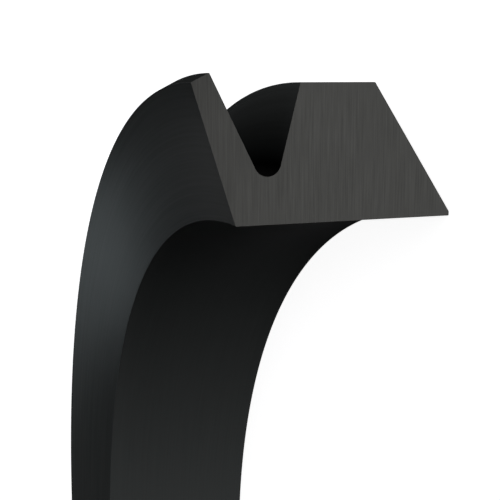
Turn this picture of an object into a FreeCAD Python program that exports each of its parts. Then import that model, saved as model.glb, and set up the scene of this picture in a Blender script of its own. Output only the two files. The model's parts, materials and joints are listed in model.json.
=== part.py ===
import FreeCAD, Part
import math
import os
import Sketcher

# A rubber V ring for a shaft of 68 to 73 mm, cut open to show its section.
# The ring lies on its back: the axis is Z, the bore's back edge is at Z = 0,
# the lip points up, and the window that was cut out is centred on -Y.

# Driving sizes in millimetres and degrees, each with what it measures
SIZES = {
    "bore_diameter": (63.0, "free bore, before the ring is stretched on its shaft"),
    "bore_length": (10.5, "axial length of the bore, from the back to the lip's root"),
    "body_height": (6.1, "radial height of the body over the bore"),
    "back_land": (0.2, "flat ring beside the bore that the part lies on"),
    "back_taper": (3.95, "axial run of the slanted back"),
    "groove_mouth": (4.1, "axial gap from the crown to the lip's edge"),
    "groove_round": (0.63, "radius of the round at the groove's bottom"),
    "hinge_thickness": (2.1, "rubber left between the groove's bottom and the bore"),
    "lip_root": (1.6, "thickness of the lip beside the groove's bottom"),
    "lip_reach": (1.9, "axial reach of the lip beyond the bore's front edge"),
    "tip_rise": (0.4, "height of the lip's edge over the body"),
    "tip_width": (0.8, "axial width of the slanted tip"),
    "window_angle": (60.0, "angle cut out of the ring to open it"),
}

# A sketch's own origin and horizontal axis, and the points of an element
ORIGIN = (-1, 1)
HORIZONTAL_AXIS = -1
START = 1
END = 2
CENTRE = 3

# The section's straight edges, in order round it, with their two corners
STRAIGHT_EDGES = {
    "bore": ("bore_front", "bore_back"),
    "land": ("bore_back", "land_end"),
    "back": ("land_end", "crown_back"),
    "crown": ("crown_back", "crown_front"),
    "body_flank": ("crown_front", "round_body"),
    "lip_flank": ("round_lip", "tip_back"),
    "tip": ("tip_back", "tip_front"),
    "lip_front": ("tip_front", "bore_front"),
}


def make_sheet(doc):
    """Put the driving sizes in a spreadsheet, one row each."""
    sheet = doc.addObject("Spreadsheet::Sheet", "sizes")
    for row, (alias, (value, meaning)) in enumerate(SIZES.items(), start=1):
        sheet.set(f"A{row}", alias)
        sheet.set(f"B{row}", str(value))
        sheet.setAlias(f"B{row}", alias)
        sheet.set(f"C{row}", meaning)
    doc.recompute()
    return sheet


def origin_plane(body, role):
    """Find one of the body's own origin planes by its role."""
    for feature in body.Origin.OriginFeatures:
        if feature.Role == role:
            return feature
    raise ValueError(f"{body.Label} has no {role}")


def drawn_corners(sheet):
    """Place the section's corners near where its constraints will hold them."""
    bore = sheet.bore_diameter / 2
    crown = bore + sheet.body_height
    tip_front = sheet.bore_length + sheet.lip_reach
    tip_back = tip_front - sheet.tip_width
    round_radius = bore + sheet.hinge_thickness + sheet.groove_round
    round_place = sheet.bore_length - sheet.lip_root
    places = {
        "bore_front": (bore, sheet.bore_length),
        "bore_back": (bore, 0),
        "land_end": (bore + sheet.back_land, 0),
        "crown_back": (crown, sheet.back_taper),
        "crown_front": (crown, tip_back - sheet.groove_mouth),
        "round_body": (round_radius, round_place - sheet.groove_round),
        "round_centre": (round_radius, round_place),
        "round_lip": (round_radius, round_place + sheet.groove_round),
        "tip_back": (crown + sheet.tip_rise, tip_back),
        "tip_front": (crown, tip_front),
    }
    return {name: FreeCAD.Vector(radius, place, 0) for name, (radius, place) in places.items()}


def draw_edges(sketch, sheet):
    """Draw the section's straight edges and the groove's round."""
    corners = drawn_corners(sheet)
    edges = {}
    for name, (first, last) in STRAIGHT_EDGES.items():
        edges[name] = sketch.addGeometry(Part.LineSegment(corners[first], corners[last]))
    circle = Part.Circle(corners["round_centre"], FreeCAD.Vector(0, 0, 1), sheet.groove_round)
    half_turn = Part.ArcOfCircle(circle, math.radians(90), math.radians(270))
    edges["round"] = sketch.addGeometry(half_turn)
    return edges


def join_edges(sketch, edges):
    """Close the outline: corners meet, and the flanks run into the round."""
    order = list(STRAIGHT_EDGES)
    for name, following in zip(order, order[1:] + order[:1]):
        if name != "body_flank":
            meeting = (edges[name], END, edges[following], START)
            sketch.addConstraint(Sketcher.Constraint("Coincident", *meeting))
    to_body = (edges["round"], END, edges["body_flank"], END)
    to_lip = (edges["round"], START, edges["lip_flank"], START)
    for ends in (to_body, to_lip):
        sketch.addConstraint(Sketcher.Constraint("Tangent", *ends))
    for upright in ("bore", "crown"):
        sketch.addConstraint(Sketcher.Constraint("Vertical", edges[upright]))
    on_back = (edges["bore"], END, HORIZONTAL_AXIS)
    sketch.addConstraint(Sketcher.Constraint("PointOnObject", *on_back))
    sketch.addConstraint(Sketcher.Constraint("Horizontal", edges["land"]))
    level = (edges["crown"], END, edges["tip"], END)
    sketch.addConstraint(Sketcher.Constraint("Vertical", *level))


def size_edge(sketch, name, kind, elements, formula):
    """Add one named dimension and bind it to the spreadsheet."""
    value = sketch.evalExpression(formula)
    index = sketch.addConstraint(Sketcher.Constraint(kind, *elements, value))
    sketch.renameConstraint(index, name)
    sketch.setExpression(f"Constraints.{name}", formula)


def size_edges(sketch, edges):
    """Give the section its sizes, radii along X and axial lengths along Y."""
    bore, land, back, crown = (edges[name] for name in ("bore", "land", "back", "crown"))
    tip, lip_front, groove = (edges[name] for name in ("tip", "lip_front", "round"))
    radial = {
        "bore_radius": (*ORIGIN, bore, START, "sizes.bore_diameter / 2"),
        "back_land": (land, START, land, END, "sizes.back_land"),
        "body_height": (bore, START, crown, START, "sizes.body_height"),
        "tip_rise": (tip, END, tip, START, "sizes.tip_rise"),
        "round_height": (bore, START, groove, CENTRE, "sizes.hinge_thickness + sizes.groove_round"),
    }
    axial = {
        "bore_length": (bore, END, bore, START, "sizes.bore_length"),
        "back_taper": (back, START, back, END, "sizes.back_taper"),
        "groove_mouth": (crown, END, tip, START, "sizes.groove_mouth"),
        "tip_width": (tip, START, tip, END, "sizes.tip_width"),
        "lip_reach": (lip_front, END, lip_front, START, "sizes.lip_reach"),
    }
    for kind, sizes in (("DistanceX", radial), ("DistanceY", axial)):
        for name, (*elements, formula) in sizes.items():
            size_edge(sketch, name, kind, elements, formula)
    size_edge(sketch, "groove_round", "Radius", (groove,), "sizes.groove_round")
    to_lip = "sizes.groove_round + sizes.lip_root"
    size_edge(sketch, "round_to_lip", "Distance", (groove, CENTRE, lip_front), to_lip)


def draw_section(body, sheet):
    """Sketch the section on YZ, with the radius along Y and the axis along Z."""
    sketch = body.newObject("Sketcher::SketchObject", "section")
    sketch.AttachmentSupport = [(origin_plane(body, "YZ_Plane"), "")]
    sketch.MapMode = "FlatFace"
    edges = draw_edges(sketch, sheet)
    join_edges(sketch, edges)
    size_edges(sketch, edges)
    return sketch


def make_ring(doc, sheet):
    """Turn the section round the axis, all but the window."""
    body = doc.addObject("PartDesign::Body", "v_ring")
    body.Label = "v_ring"
    section = draw_section(body, sheet)
    ring = body.newObject("PartDesign::Revolution", "ring")
    ring.Profile = section
    ring.ReferenceAxis = (section, ["V_Axis"])
    ring.Midplane = True
    ring.setExpression("Angle", "360 - sizes.window_angle")
    body.Placement = FreeCAD.Placement()
    return body


def check_document(doc, bodies):
    """Stop if any object failed or any sub-part is empty or invalid."""
    for item in doc.Objects:
        if "Invalid" in item.State or "Error" in item.State:
            raise RuntimeError(f"{item.Label} failed: {item.State}")
    for body in bodies:
        if body.Shape.isNull() or not body.Shape.isValid():
            raise RuntimeError(f"{body.Label} has no valid shape")


def export_parts(bodies):
    """Write one STEP file for each sub-part, under its label."""
    os.makedirs("parts", exist_ok=True)
    for body in bodies:
        body.Shape.exportStep(f"parts/{body.Label}.step")
        print(f"{body.Label}: {len(body.Shape.Solids)} solid, {body.Shape.Volume:.1f} mm3")


def main():
    """Build the seal and write its part."""
    doc = FreeCAD.newDocument("v_ring_seal")
    sheet = make_sheet(doc)
    bodies = [make_ring(doc, sheet)]
    doc.recompute()
    check_document(doc, bodies)
    export_parts(bodies)


main()
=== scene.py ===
import json
import math

import bpy
from mathutils import Matrix, Vector


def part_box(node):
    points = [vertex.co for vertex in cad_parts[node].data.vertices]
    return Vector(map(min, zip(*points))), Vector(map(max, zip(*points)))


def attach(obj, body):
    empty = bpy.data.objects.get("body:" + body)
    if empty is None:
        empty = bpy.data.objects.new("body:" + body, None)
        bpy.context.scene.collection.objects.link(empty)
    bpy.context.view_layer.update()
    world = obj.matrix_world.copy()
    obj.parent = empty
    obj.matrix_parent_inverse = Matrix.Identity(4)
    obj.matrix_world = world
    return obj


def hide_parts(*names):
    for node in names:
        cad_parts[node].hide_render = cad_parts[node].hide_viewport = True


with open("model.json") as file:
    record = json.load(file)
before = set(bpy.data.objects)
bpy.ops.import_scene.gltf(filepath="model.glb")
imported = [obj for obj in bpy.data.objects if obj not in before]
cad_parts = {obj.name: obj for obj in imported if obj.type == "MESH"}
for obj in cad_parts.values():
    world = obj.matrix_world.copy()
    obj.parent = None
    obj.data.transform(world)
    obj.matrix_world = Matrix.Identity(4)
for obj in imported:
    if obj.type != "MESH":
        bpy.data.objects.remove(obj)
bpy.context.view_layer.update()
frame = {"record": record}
mm = 0.001

# ring: the section of the moulded rubber and the window cut out of it, in millimetres and degrees
ringSizes = {
    "backLand": 0.2,      # narrow flat beside the bore, which the ring lies on
    "backTaper": 3.95,    # axial run of the slanted back
    "grooveMouth": 4.1,   # axial gap from the crown to the lip's edge
    "grooveRound": 0.63,  # round at the groove's bottom
    "hinge": 2.1,         # rubber between the groove's bottom and the bore
    "lipRoot": 1.6,       # thickness of the lip beside the groove's bottom
    "tipRise": 0.4,       # height of the lip's edge over the body
    "tipWidth": 0.8,      # axial width of the slanted tip
    "windowAngle": 60.0,  # centred on -Y
    "edgeRound": 0.04,    # what the mould leaves on the outer edges
    "edgeSteps": 4,       # straight pieces in each of those rounds
    "grooveSteps": 24,    # and in the groove's round
    "turnStep": 0.5,      # between two sections
    "sharpAngle": 40.0,   # steeper edges than this are shaded as edges
}


def mountSize(mountName, key):
    for mount in frame["record"]["mounts"]:
        if mount["name"] == mountName:
            return mount["dims"][key]


def ringLimits(sizes):
    # what the frame gives of the section, in millimetres: three radii and two lengths along the axis
    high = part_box("v_ring")[1]
    lipEdge = high[1] / mm
    return {
        "bore": mountSize("bore", "r_mm"),
        "crown": lipEdge - sizes["tipRise"],
        "lipEdge": lipEdge,
        "boreLength": mountSize("bore", "length_mm"),
        "width": high[2] / mm,
    }


def cutTurn(sizes):
    # where the cut face on the right of the window stands, in radians round the axis from +X
    return math.radians(sizes["windowAngle"] / 2 - 90)


def tangentPoint(corner, centre, radius, side):
    # where a line from the corner touches the circle, on the side given as 1 or -1
    away = centre - corner
    reach = math.sqrt(away.length_squared - radius ** 2)
    turn = side * math.asin(radius / away.length)
    direction = Matrix.Rotation(turn, 2) @ away.normalized()
    return corner + reach * direction


def arcPoints(centre, start, end, steps):
    fromCentre = start - centre
    turn = fromCentre.angle_signed(end - centre)
    return [centre + Matrix.Rotation(-turn * step / steps, 2) @ fromCentre for step in range(steps + 1)]


def roundCorner(before, corner, after, radius, steps):
    # an arc that touches both sides of a corner
    toBefore = (before - corner).normalized()
    toAfter = (after - corner).normalized()
    half = toBefore.angle(toAfter) / 2
    reach = radius / math.tan(half)
    centre = corner + (toBefore + toAfter).normalized() * radius / math.sin(half)
    return arcPoints(centre, corner + toBefore * reach, corner + toAfter * reach, steps)


def ringSection(sizes, limits):
    # the outline as points (radius, height) from the bore's back edge on, and for each point
    # how deep it lies in the groove and whether it bounds the trimmed tip, both from 0 to 1
    bore = limits["bore"]
    crown = limits["crown"]
    slope = (limits["width"] - limits["boreLength"]) / (crown - bore)
    roundHeight = sizes["hinge"] + sizes["grooveRound"]
    toLip = (sizes["grooveRound"] + sizes["lipRoot"]) * math.hypot(1, slope)
    centre = Vector((bore + roundHeight, limits["boreLength"] + slope * roundHeight - toLip))
    grooveDepth = crown - (centre.x - sizes["grooveRound"])
    tipBack = Vector((limits["lipEdge"], limits["width"] - sizes["tipWidth"]))
    crownFront = Vector((crown, tipBack.y - sizes["grooveMouth"]))
    corners = {
        "boreBack": Vector((bore, 0)),
        "landEnd": Vector((bore + sizes["backLand"], 0)),
        "crownBack": Vector((crown, sizes["backTaper"])),
        "crownFront": crownFront,
        "roundStart": tangentPoint(crownFront, centre, sizes["grooveRound"], 1),
        "roundEnd": tangentPoint(tipBack, centre, sizes["grooveRound"], -1),
        "tipBack": tipBack,
        "tipFront": Vector((crown, limits["width"])),
        "boreFront": Vector((bore, limits["boreLength"])),
    }
    places = list(corners.values())
    outline, recess, trimmed = [], [], []
    for index, (name, corner) in enumerate(corners.items()):
        before = places[index - 1]
        after = places[(index + 1) % len(places)]
        if name == "roundEnd":
            continue   # the groove's round, drawn from roundStart, ends here
        if name == "roundStart":
            stretch = arcPoints(centre, corner, after, sizes["grooveSteps"])
            depths = [(crown - point.x) / grooveDepth for point in stretch]
        else:
            stretch = roundCorner(before, corner, after, sizes["edgeRound"], sizes["edgeSteps"])
            depths = [0.0] * len(stretch)
        bounds = [0.0] * len(stretch)
        if name == "tipBack":
            bounds[-1] = 1.0
        elif name == "tipFront":
            bounds[0] = 1.0
        outline += stretch
        recess += depths
        trimmed += bounds
    return [point * mm for point in outline], recess, trimmed


def makeRing(sizes):
    limits = ringLimits(sizes)
    outline, recess, trimmed = ringSection(sizes, limits)
    count = len(outline)
    sweep = 360 - sizes["windowAngle"]
    steps = round(sweep / sizes["turnStep"])
    points = []
    for step in range(steps + 1):
        angle = cutTurn(sizes) + math.radians(sweep) * step / steps
        points += [(point.x * math.cos(angle), point.x * math.sin(angle), point.y) for point in outline]
    skinFaces = []
    for step in range(steps):
        here, there = step * count, (step + 1) * count
        for index in range(count):
            after = (index + 1) % count
            skinFaces.append((here + index, there + index, there + after, here + after))
    cutFaces = [tuple(range(count)), tuple(reversed(range(steps * count, (steps + 1) * count)))]
    mesh = bpy.data.meshes.new("ringBody")
    mesh.from_pydata(points, [], skinFaces + cutFaces)
    for name, marks in (("recess", recess), ("trimmed", trimmed)):
        mesh.attributes.new(name, "FLOAT", "POINT").data.foreach_set("value", marks * (steps + 1))
    mesh.materials.append(skinRubber(skinLook, limits))
    mesh.materials.append(cutRubber(cutLook, limits))
    mesh.polygons.foreach_set("use_smooth", [True] * len(skinFaces) + [False] * len(cutFaces))
    mesh.polygons.foreach_set("material_index", [0] * len(skinFaces) + [1] * len(cutFaces))
    mesh.set_sharp_from_angle(angle=math.radians(sizes["sharpAngle"]))
    ring = bpy.data.objects.new("ringBody", mesh)
    bpy.context.scene.collection.objects.link(ring)
    evenShade = ring.modifiers.new("evenShade", "WEIGHTED_NORMAL")
    evenShade.keep_sharp = True
    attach(ring, "root")
    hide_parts("v_ring")
    print("ring:", len(points), "points,", len(mesh.polygons), "faces")


class Wire:
    # one socket in a node tree, or none at first, when it only makes nodes
    # + - * on wires and numbers add Math nodes

    def __init__(self, tree, socket):
        self.tree = tree
        self.socket = socket

    def node(self, kind, settings=None, values=None, output=0):
        made = self.tree.nodes.new(kind)
        for name, value in (settings or {}).items():
            setattr(made, name, value)
        for name, value in (values or {}).items():
            target = made.inputs[name]
            if isinstance(value, Wire):
                self.tree.links.new(value.socket, target)
            else:
                target.default_value = value
        return Wire(self.tree, made.outputs[output] if made.outputs else None)

    def outlet(self, name):
        # another output of the node that this socket belongs to
        return Wire(self.tree, self.socket.node.outputs[name])

    def maths(self, operation, *terms):
        return self.node("ShaderNodeMath", {"operation": operation}, dict(enumerate(terms)))

    def __add__(self, other):
        return self.maths("ADD", self, other)

    def __radd__(self, other):
        return self.maths("ADD", other, self)

    def __sub__(self, other):
        return self.maths("SUBTRACT", self, other)

    def __rsub__(self, other):
        return self.maths("SUBTRACT", other, self)

    def __mul__(self, other):
        return self.maths("MULTIPLY", self, other)

    def __rmul__(self, other):
        return self.maths("MULTIPLY", other, self)


def newMaterial(name):
    material = bpy.data.materials.new(name)
    material.use_nodes = True
    tree = material.node_tree
    tree.nodes.clear()
    return material, Wire(tree, None)


def ringPlace(wire):
    # radius, height and turn of a point of the ring, in millimetres and radians, with the seam in the window
    place = wire.node("ShaderNodeTexCoord", output="Object")
    parts = wire.node("ShaderNodeSeparateXYZ", values={"Vector": place})
    x, y, z = (parts.outlet(name) for name in "XYZ")
    radius = wire.maths("SQRT", x * x + y * y)
    return radius * (1 / mm), z * (1 / mm), wire.maths("ARCTAN2", x, y)


streakDetail = 3.0      # how many finer layers of noise lie over the streaks
streakMiddle = 0.5      # value that the streaks swing round
streakHeight = 0.00001  # metres that they stand out of the rubber


def streaks(wire, u, v, w):
    # noise, which is stretched into a streak where its coordinate grows slowly
    vector = wire.node("ShaderNodeCombineXYZ", values={"X": u, "Y": v, "Z": w})
    values = {"Vector": vector, "Scale": 1.0, "Detail": streakDetail}
    return wire.node("ShaderNodeTexNoise", {"noise_dimensions": "3D"}, values)


def ramp(wire, value, span, results, kind="LINEAR"):
    fromMin, fromMax = span
    toMin, toMax = results
    values = {"Value": value, "From Min": fromMin, "From Max": fromMax, "To Min": toMin, "To Max": toMax}
    return wire.node("ShaderNodeMapRange", {"interpolation_type": kind}, values)


def blend(wire, share, first, second):
    # the Mix node's colours are its inputs 6 and 7 and its output 2
    values = {"Factor": share, 6: first, 7: second}
    return wire.node("ShaderNodeMix", {"data_type": "RGBA"}, values, output=2)


def finishMaterial(wire, look, colour, roughness, relief):
    bump = {"Strength": look["bump"], "Distance": streakHeight, "Height": relief}
    values = {
        "Base Color": colour,
        "Roughness": roughness,
        "Specular IOR Level": look["specular"],
        "Normal": wire.node("ShaderNodeBump", values=bump),
    }
    shader = wire.node("ShaderNodeBsdfPrincipled", values=values)
    wire.node("ShaderNodeOutputMaterial", values={"Surface": shader})


skinLook = {
    "dark": (0.0220, 0.0236, 0.0234, 1),
    "light": (0.0480, 0.0514, 0.0510, 1),
    "deep": (0.0008, 0.0008, 0.0008, 1),   # painted shade, at the groove's bottom and on the trimmed tip
    "grooveDepth": 1.15,       # how soon that painted shade is reached on the way down the groove
    "trimmedDepth": 0.70,      # how much of that painted shade the trimmed tip has
    "fine": (8.0, 2.5),        # streaks per millimetre across the turn and per radian along it
    "broad": (1.6, 6.0),
    "fineShare": 0.75,         # the rest are broad streaks
    "contrast": (0.4, 0.85),   # of the streaks in the bore and outside it
    "boreEdge": (0.01, 0.10),  # millimetres from the bore's wall between which its finish ends
    "roughness": 0.24,
    "boreRoughness": 0.31,
    "deepRoughness": 0.75,
    "trimmedRoughness": 1.00,
    "streakRoughness": 0.06,   # between the darkest and the lightest streaks
    "specular": 0.02,
    "bump": 0.10,
}


def skinRubber(look, limits):
    material, wire = newMaterial("mouldedRubber")
    radius, height, turn = ringPlace(wire)
    marks = ({"attribute_name": name} for name in ("recess", "trimmed"))
    recess, trimmed = (wire.node("ShaderNodeAttribute", mark, output="Fac") for mark in marks)
    fine, broad = (
        streaks(wire, radius * across, height * across, turn * along)
        for across, along in (look["fine"], look["broad"])
    )
    boreEdge = [limits["bore"] + depth for depth in look["boreEdge"]]
    contrast = ramp(wire, radius, boreEdge, look["contrast"])
    mixed = fine * look["fineShare"] + broad * (1 - look["fineShare"])
    tone = (mixed - streakMiddle) * contrast + streakMiddle
    skin = blend(wire, tone, look["dark"], look["light"])
    # painted shade: down the groove and on the trimmed tip the colour goes towards a near black
    depth = recess * look["grooveDepth"] + trimmed * look["trimmedDepth"]
    colour = blend(wire, depth, skin, look["deep"])
    moulded = (tone - streakMiddle) * look["streakRoughness"] + look["roughness"]
    inBore = ramp(wire, radius, boreEdge, (1, 0)) * (look["boreRoughness"] - look["roughness"])
    inGroove = recess * (look["deepRoughness"] - look["roughness"])
    onTip = trimmed * (look["trimmedRoughness"] - look["roughness"])
    finishMaterial(wire, look, colour, moulded + inBore + inGroove + onTip, fine)
    return material


cutLook = {
    "dark": (0.0310, 0.0310, 0.0297, 1),
    "light": (0.0785, 0.0785, 0.0750, 1),
    "fine": (14.0, 0.35, 0.0),   # streaks per millimetre of height and of radius, and the noise's layer
    "broad": (2.5, 0.8, 7.0),
    "fineShare": 0.8,            # the rest are broad streaks
    "thinFrom": 7.5,             # millimetres of height from which painted shade darkens the cut up to the lip's edge
    "thinShade": 0.28,           # how much darker the painted shade makes it at that edge
    "thinAtBore": 0.3,           # share of that painted shade at the bore
    "roughness": 0.50,
    "streakRoughness": 0.1,
    "specular": 0.03,
    "bump": 0.2,
}


def cutRubber(look, limits):
    material, wire = newMaterial("cutRubber")
    radius, height = ringPlace(wire)[:2]
    fine, broad = (
        streaks(wire, height * across, radius * along, layer)
        for across, along, layer in (look["fine"], look["broad"])
    )
    upwards = ramp(wire, height, (look["thinFrom"], limits["width"]), (0, 1))
    outwards = ramp(wire, radius, (limits["bore"], limits["crown"]), (look["thinAtBore"], 1))
    mixed = fine * look["fineShare"] + broad * (1 - look["fineShare"])
    # painted shade: the cut's colour darkens towards the lip's edge, where the lamps light it more
    tone = mixed - upwards * outwards * look["thinShade"]
    colour = blend(wire, tone, look["dark"], look["light"])
    roughness = (tone - streakMiddle) * look["streakRoughness"] + look["roughness"]
    finishMaterial(wire, look, colour, roughness, fine)
    return material


# camera: where it stands and looks, told from the cut face on the right of the window
cameraPlace = {
    "outward": 37.93,   # millimetres from the axis along the cut's radius
    "inFront": 42.47,   # millimetres before the cut face, over the window
    "height": 24.59,    # millimetres over the floor
    "turn": 20.54,      # degrees down towards the floor
    "tilt": 13.32,      # degrees in towards the axis
    "lens": 74.73,      # focal length in millimetres
    "shift": (-0.05, 0.14),   # of the picture's width, sideways and up
    "nearest": 0.001,   # metres, and nothing nearer is drawn
}


def makeCamera(place, cut):
    outward = Vector((math.cos(cut), math.sin(cut), 0))
    along = Vector((-math.sin(cut), math.cos(cut), 0))
    up = Vector((0, 0, 1))
    turn, tilt = math.radians(place["turn"]), math.radians(place["tilt"])
    location = outward * place["outward"] - along * place["inFront"] + up * place["height"]
    level = along * math.cos(turn) - up * math.sin(turn)
    forward = level * math.cos(tilt) - outward * math.sin(tilt)
    right = forward.cross(outward).normalized()
    upward = right.cross(forward)
    camera = bpy.data.objects.new("camera", bpy.data.cameras.new("camera"))
    bpy.context.scene.collection.objects.link(camera)
    axes = Matrix((right, upward, -forward)).transposed()
    camera.matrix_world = Matrix.Translation(location * mm) @ axes.to_4x4()
    camera.data.lens = place["lens"]
    camera.data.shift_x, camera.data.shift_y = place["shift"]
    camera.data.clip_start = place["nearest"]
    bpy.context.scene.camera = camera
    print("camera:", [round(value, 4) for value in camera.location])


def whiteStrength(wire, look):
    # the white that floor and room show by themselves, beside the light that falls on them
    path = wire.node("ShaderNodeLightPath")
    camera, glossy, through = (path.outlet(f"Is {name} Ray") for name in ("Camera", "Glossy", "Transmission"))
    return camera * look["seen"] + (glossy + through) * look["mirrored"]


floorLook = {
    "size": 3.0,                        # metres
    "colour": (0.65, 0.65, 0.65, 1),
    "near": (0.915, 0.915, 0.915, 1),   # own white beside the ring, where the lamps add the rest
    "far": (1.0, 1.0, 1.0, 1),
    "fade": (0.12, 0.45),               # metres from the axis over which it turns white by itself
    "seen": 1.0,                        # strength of its own white straight from the camera
    "mirrored": 0.01,                   # and in a reflection or through glass
}


def makeFloor(look):
    material, wire = newMaterial("paleFloor")
    place = wire.node("ShaderNodeTexCoord", output="Object")
    away = wire.node("ShaderNodeVectorMath", {"operation": "LENGTH"}, {0: place}, output="Value")
    fade = ramp(wire, away, look["fade"], (0, 1), "SMOOTHSTEP")
    colour = blend(wire, fade, look["near"], look["far"])
    lit = wire.node("ShaderNodeBsdfDiffuse", values={"Color": look["colour"]})
    strength = whiteStrength(wire, look)
    white = wire.node("ShaderNodeEmission", values={"Color": colour, "Strength": strength})
    shader = wire.node("ShaderNodeAddShader", values={0: lit, 1: white})
    wire.node("ShaderNodeOutputMaterial", values={"Surface": shader})
    half = look["size"] / 2
    corners = [(-half, -half, 0), (half, -half, 0), (half, half, 0), (-half, half, 0)]
    mesh = bpy.data.meshes.new("floor")
    mesh.from_pydata(corners, [], [(0, 1, 2, 3)])
    mesh.materials.append(material)
    floor = bpy.data.objects.new("floor", mesh)
    bpy.context.scene.collection.objects.link(floor)
    print("floor: white by itself from", look["fade"][1], "m on")


# lamps: turn and rise in degrees round the point that each looks at, the rest in metres and watts
ringAim = (0, 0, 0.006)
lipAim = (0.034, -0.011, 0.012)   # where the lip has its soft band of light
lampPlaces = {
    "front": {"aim": ringAim, "turn": 240, "rise": 2, "away": 0.35, "size": (0.20, 0.035), "power": 1.27},
    "side": {"aim": ringAim, "turn": 330, "rise": 9, "away": 0.35, "size": (0.14, 0.10), "power": 0.46},
    "rear": {"aim": ringAim, "turn": 30, "rise": 40, "away": 0.35, "size": (0.14, 0.14), "power": 0.06},
    "back": {"aim": ringAim, "turn": 135, "rise": 1, "away": 0.35, "size": (0.20, 0.016), "power": 0.80},
    "over": {"aim": ringAim, "turn": 300, "rise": 76, "away": 0.40, "size": (0.30, 0.30), "power": 0.24},
    "lip": {"aim": lipAim, "turn": 50, "rise": 26, "away": 0.40, "size": (0.06, 0.012), "power": 0.0143},
    "lipHigh": {"aim": lipAim, "turn": 53, "rise": 28, "away": 0.40, "size": (0.06, 0.012), "power": 0.0082},
    "near": {"aim": lipAim, "turn": 44, "rise": 10, "away": 0.40, "size": (0.06, 0.06), "power": 0.0035},
}
lampColours = {"lip": (0.84, 0.96, 1.0), "lipHigh": (0.84, 0.96, 1.0), "over": (0.95, 0.95, 1.0)}
plainColour = (1, 1, 1)
glossyLamps = ("over", "lip", "lipHigh", "near")   # the others light the rubber but put no glints on it


def makeLamps(lamps, colours, glossy):
    for name, lamp in lamps.items():
        light = bpy.data.lights.new(name, "AREA")
        light.shape = "RECTANGLE"
        light.size, light.size_y = lamp["size"]
        light.energy = lamp["power"]
        light.color = colours.get(name, plainColour)
        turn, rise = math.radians(lamp["turn"]), math.radians(lamp["rise"])
        back = Vector((math.cos(turn) * math.cos(rise), math.sin(turn) * math.cos(rise), math.sin(rise)))
        holder = bpy.data.objects.new(name, light)
        holder.location = Vector(lamp["aim"]) + back * lamp["away"]
        holder.rotation_mode = "QUATERNION"
        holder.rotation_quaternion = back.to_track_quat("Z", "Y")
        holder.visible_glossy = name in glossy
        bpy.context.scene.collection.objects.link(holder)
    print("lamps:", len(lamps))


roomLook = {
    "colour": (1, 1, 1, 1),
    "seen": 0.99,      # strength straight from the camera
    "mirrored": 0.0,   # and in a reflection or through glass
    "always": 0.01,    # for every ray, on top of these
}


def makeWorld(look):
    world = bpy.data.worlds.new("studio")
    world.use_nodes = True
    tree = world.node_tree
    tree.nodes.clear()
    wire = Wire(tree, None)
    strength = whiteStrength(wire, look) + look["always"]
    room = wire.node("ShaderNodeBackground", values={"Color": look["colour"], "Strength": strength})
    wire.node("ShaderNodeOutputWorld", values={"Surface": room})
    bpy.context.scene.world = world
    print("world: strength", look["seen"] + look["always"], "to the camera,", look["always"], "to the ring")


makeRing(ringSizes)
makeCamera(cameraPlace, cutTurn(ringSizes))
makeFloor(floorLook)
makeLamps(lampPlaces, lampColours, glossyLamps)
makeWorld(roomLook)
bpy.context.scene.view_settings.view_transform = "Standard"
